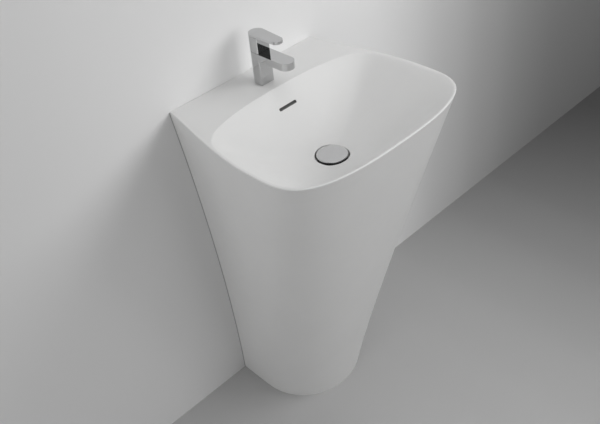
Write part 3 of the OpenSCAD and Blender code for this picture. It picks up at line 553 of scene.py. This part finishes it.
def smooth_route(route, gap):
    """Places at an even gap on a smooth curve through the route's points."""
    points = [Vector(point) for point in route]
    points = [2 * points[0] - points[1]] + points + [2 * points[-1] - points[-2]]
    fine = []
    for before, start, end, after in zip(points, points[1:], points[2:], points[3:]):
        for step in range(CURVE_STEPS):
            share = step / CURVE_STEPS
            fine.append(0.5 * (
                2 * start + (end - before) * share
                + (2 * before - 5 * start + 4 * end - after) * share ** 2
                + (3 * start - before - 3 * end + after) * share ** 3
            ))
    fine.append(points[-2])
    runs = [0.0]
    for start, end in zip(fine, fine[1:]):
        runs.append(runs[-1] + (end - start).length)
    count = round(runs[-1] / gap)
    places = []
    at = 0
    for step in range(count + 1):
        run = runs[-1] * step / count
        while at < len(fine) - 2 and runs[at + 1] < run:
            at += 1
        places.append(fine[at].lerp(fine[at + 1], (run - runs[at]) / (runs[at + 1] - runs[at])))
    return places


def frames_along(places):
    """A frame at each place that looks along the hose and doesn't twist, and the run so far."""
    side = Vector((1, 0, 0))
    run = 0.0
    frames = []
    for index, place in enumerate(places):
        before, after = places[max(index - 1, 0)], places[min(index + 1, len(places) - 1)]
        ahead = (after - before).normalized()
        side = (side - side.dot(ahead) * ahead).normalized()
        turn = Matrix((side, ahead.cross(side), ahead)).transposed().to_4x4()
        run += (place - before).length
        frames.append((Matrix.Translation(place) @ turn, run))
    return frames


def settle_order(mesh):
    """Sorts the faces by their vertices, because extruding leaves them in a chance order."""
    mesh.verts.index_update()
    ranked = sorted(mesh.faces, key=lambda face: sorted(vert.index for vert in face.verts))
    rank = {face: place for place, face in enumerate(ranked)}
    mesh.faces.sort(key=rank.get)
    mesh.faces.index_update()


def hose_mesh(places, radius_at, bore=None):
    """A hose swept along its places, solid or with a bore, mapped round and along it.

    The map holds turns round the hose and metres along it.
    """
    frames = frames_along(places)
    rings = [(frame, run, radius_at(run)) for frame, run in frames]
    if bore:
        rings += [(frame, run, bore) for frame, run in reversed(frames)]
    mesh = bmesh.new()
    turn_of = mesh.verts.layers.float.new("turn")
    run_of = mesh.verts.layers.float.new("run")
    ring = bmesh.ops.create_circle(mesh, radius=1.0, segments=HOSE_SIDES)["verts"]
    for vert in ring:
        vert[turn_of] = math.atan2(vert.co.y, vert.co.x) / math.tau % 1
    first = list(mesh.edges)
    edges = first
    pose = Matrix.Identity(4)
    for index, (frame, run, radius) in enumerate(rings):
        if index:
            grown = bmesh.ops.extrude_edge_only(mesh, edges=edges)["geom"]
            ring = [part for part in grown if isinstance(part, bmesh.types.BMVert)]
            edges = [
                part for part in grown
                if isinstance(part, bmesh.types.BMEdge) and part.is_boundary
            ]
        placed = frame @ Matrix.Scale(radius, 4)
        bmesh.ops.transform(mesh, verts=ring, matrix=placed @ pose.inverted())
        pose = placed
        for vert in ring:
            vert[run_of] = run
    if bore:
        bmesh.ops.bridge_loops(mesh, edges=first + edges)
    else:
        bmesh.ops.holes_fill(mesh, edges=first + edges)
    settle_order(mesh)
    bmesh.ops.recalc_face_normals(mesh, faces=mesh.faces)
    hose_map = mesh.loops.layers.uv.new("hose_map")
    for face in mesh.faces:
        turns = [loop.vert[turn_of] for loop in face.loops]
        wraps = max(turns) - min(turns) > 0.5
        for loop, turn in zip(face.loops, turns):
            loop[hose_map].uv = (turn + (wraps and turn < 0.5), loop.vert[run_of])
    return mesh


def add_supply_hoses():
    """Two braided hoses, one the mirror of the other."""
    for node_name, side in (("cold_hose", 1), ("hot_hose", -1)):
        route = [(side * x, y, z) for x, y, z in SUPPLY_ROUTE]
        mesh = hose_mesh(smooth_route(route, SUPPLY_RING_GAP), lambda run: SUPPLY_RADIUS)
        shade_smooth(mesh, HOSE_CREASE)
        add_piece(node_name + "_braided", mesh, node_name)


def add_overflow_hose():
    """A ribbed hose with a plain cuff over each spigot."""
    places = smooth_route(OVERFLOW_ROUTE, OVERFLOW_RING_GAP)
    length = frames_along(places)[-1][1]

    def radius_at(run):
        if min(run, length - run) < CUFF_LENGTH:
            return CUFF_RADIUS
        return RIB_RADIUS + RIB_HEIGHT * math.cos(math.tau * (run - CUFF_LENGTH) / RIB_PITCH)

    mesh = hose_mesh(places, radius_at, bore=OVERFLOW_BORE)
    shade_smooth(mesh, HOSE_CREASE)
    add_piece("overflow_hose_ribbed", mesh, "overflow_hose")


# ---- Stage ------------------------------------------------------------------------------

# Painted light and shade on the wall and the floor: their tones at places across them, in metres
# from the middle of the sink, brightest near the sink and darker towards the sides, most of all
# to the right
WALL_PAINTED_LIGHT = [
    (-0.7, 0.72), (-0.4, 0.785), (-0.1, 0.85), (0.2, 0.91), (0.45, 0.88),
    (0.65, 0.69), (0.85, 0.52), (1.05, 0.395), (1.3, 0.3), (1.7, 0.29),
]
FLOOR_PAINTED_LIGHT = [
    (-0.6, 0.43), (-0.3, 0.445), (-0.2, 0.464), (-0.1, 0.5), (0.0, 0.512), (0.15, 0.49),
    (0.3, 0.464), (0.5, 0.408), (0.75, 0.321), (1.0, 0.242), (1.6, 0.13),
]
# Painted shade along the joint between the wall and the castings: its tones at the values of its
# noise
JOINT_SHADE_TONES = [(0.3, 0.5), (0.7, 0.54)]
JOINT_WIDTH = 0.0022
# Half the length of the floor's and the wall's sides, in metres, and the roughness of their paint
STAGE_HALF = 6
STAGE_ROUGHNESS = 0.7
# The wall stands this far behind the castings' back
WALL_GAP = 0.0005
# How far a vertex may stand in front of the castings' back and still be on it
BACK_TOLERANCE = 0.0003
# How far inside the castings' back outline the wall is cut open
OPENING_INSET = 0.002


def plain_surface(name, colour):
    """A plain painted surface that can't be seen from its back."""
    material = bpy.data.materials.new(name)
    material.use_nodes = True
    material.node_tree.nodes.clear()
    shader = Shader(material.node_tree)
    skin = shader.add(
        "ShaderNodeBsdfPrincipled",
        {"Roughness": STAGE_ROUGHNESS, "Base Color": colour(shader)},
    )
    clear = shader.add("ShaderNodeBsdfTransparent")
    back = shader.add("ShaderNodeNewGeometry").outputs["Backfacing"]
    mixed = shader.add(
        "ShaderNodeMixShader", {0: back, 1: skin.outputs[0], 2: clear.outputs[0]}
    )
    shader.add("ShaderNodeOutputMaterial", {"Surface": mixed.outputs[0]})
    return material


def shaded_across(tones):
    """Paint that passes through the tones from one side to the other: painted light and shade."""
    def colour(shader):
        across = shader.add("ShaderNodeSeparateXYZ", {"Vector": shader.position()}).outputs[0]
        return shader.graded(across, tones)

    return colour


def joint_painted_shade(shader):
    """Painted shade of the gap between the wall and the castings, a little uneven in tone."""
    return shader.graded(shader.noise(shader.position(), scale=60.0), JOINT_SHADE_TONES)


def back_outline():
    """Heights and half widths of the castings' back edges, from the foot to the rim."""
    reach = {}
    for name in ("pedestal_shell", "basin_bowl"):
        for vert in NODES[name].data.vertices:
            if vert.co.y > WALL_Y - BACK_TOLERANCE:
                height = round(vert.co.z, 4)
                reach[height] = max(reach.get(height, 0), vert.co.x)
    outline = []
    for height, half in sorted(reach.items()):
        if not outline or half > outline[-1][1]:
            outline.append((height, half))
    return outline


def open_wall(mesh):
    """Opens the wall just inside the castings' back outline, for the light from behind.

    Returns the faces of the joint, a narrow strip of wall beside the castings that carries
    painted shade.
    """
    outline = back_outline()
    rows = len(outline) - 1
    bmesh.ops.delete(mesh, geom=list(mesh.faces), context="FACES_ONLY")
    # Three columns of faces: the joint, the opening, and the joint on the other side
    plate = bmesh.ops.create_grid(mesh, x_segments=3, y_segments=rows, size=1)["verts"]
    for vert in plate:
        height, half = outline[round((vert.co.y + 1) / 2 * rows)]
        half += JOINT_WIDTH if abs(vert.co.x) > 0.5 else -OPENING_INSET
        vert.co = (math.copysign(half, vert.co.x), height, 0)
    rim = [edge for edge in mesh.edges if len(edge.link_faces) < 2]
    opening = [face for face in mesh.faces if abs(face.calc_center_median().x) < OPENING_INSET]
    joint = [face for face in mesh.faces if face not in opening]
    bmesh.ops.delete(mesh, geom=opening, context="FACES_ONLY")
    bmesh.ops.triangle_fill(mesh, edges=rim, normal=(0, 0, 1))
    return joint


def add_stage():
    """A pale floor and, just behind the sink, the wall that it stands against."""
    floor = bmesh.new()
    bmesh.ops.create_grid(floor, x_segments=1, y_segments=1, size=STAGE_HALF)
    wall = floor.copy()
    # The joint's faces take the painted shade
    for face in open_wall(wall):
        face.material_index = 1
    stand_up = Matrix.Rotation(math.pi / 2, 4, "X")
    move_back = Matrix.Translation((0, WALL_Y + WALL_GAP, 0))
    bmesh.ops.transform(wall, verts=wall.verts, matrix=move_back @ stand_up)
    # The floor's and the wall's tones are painted light and shade; the wall's joint is painted
    # shade
    link_mesh("floor", floor, plain_surface("floor", shaded_across(FLOOR_PAINTED_LIGHT)))
    link_mesh(
        "wall", wall,
        plain_surface("wall", shaded_across(WALL_PAINTED_LIGHT)),
        plain_surface("wall_joint_shade", joint_painted_shade),
    )


# ---- Light ------------------------------------------------------------------------------

SINK_MIDDLE = Vector((0, -0.2, 0.7))
WORLD_TONE = 0.062


def add_lamp(name, place, size, power, aim=SINK_MIDDLE, mirrored=True):
    """A soft lamp; one that isn't mirrored leaves no streak on the chrome."""
    data = bpy.data.lights.new(name, "AREA")
    data.shape = "RECTANGLE"
    data.size, data.size_y = size
    data.energy = power
    lamp = link_object(name, data)
    lamp.location = place
    lamp.rotation_euler = (Vector(aim) - Vector(place)).to_track_quat("-Z", "Y").to_euler()
    lamp.visible_glossy = mirrored
    lamp.visible_camera = False


def add_light():
    """Soft studio light: a large key at the right, fills in front and at the left, and a top.

    A lamp behind the wall lights the sink's back through the opening.
    """
    add_lamp("key", place=(1.3, -1.45, 1.96), size=(1.6, 1.2), power=26.2, mirrored=False)
    add_lamp("front", place=(0.42, -2.2, 1.52), size=(1.4, 1.4), power=12.0)
    add_lamp("left", place=(-2.11, -0.57, 1.19), size=(1.2, 1.2), power=11.2)
    add_lamp("overhead", place=(0, -0.3, 2.7), size=(1.2, 1.0), power=5.4)
    add_lamp(
        "behind", place=(0, WALL_Y + 1.4, 0.85), size=(2.4, 1.6), power=14,
        aim=(0, WALL_Y, 0.7),
    )
    world = bpy.data.worlds.new("studio")
    bpy.context.scene.world = world
    world.use_nodes = True
    background = world.node_tree.nodes["Background"]
    background.inputs["Color"].default_value = grey(WORLD_TONE)
    background.inputs["Strength"].default_value = 1.0
    bpy.context.scene.view_settings.view_transform = "Standard"


# ---- Assembly ---------------------------------------------------------------------------

place_camera()
dress_nodes()
cast_skin("pedestal_shell", "pedestal_casting")
paint_slot_shade(cast_skin("basin_bowl", "basin_casting"))
rounded_metal("tap_body", radius=0.0007)
rounded_metal("tap_lever", radius=0.0008)
rounded_metal("plug_cap", radius=0.0004)
add_supply_hoses()
add_overflow_hose()
add_stage()
add_light()
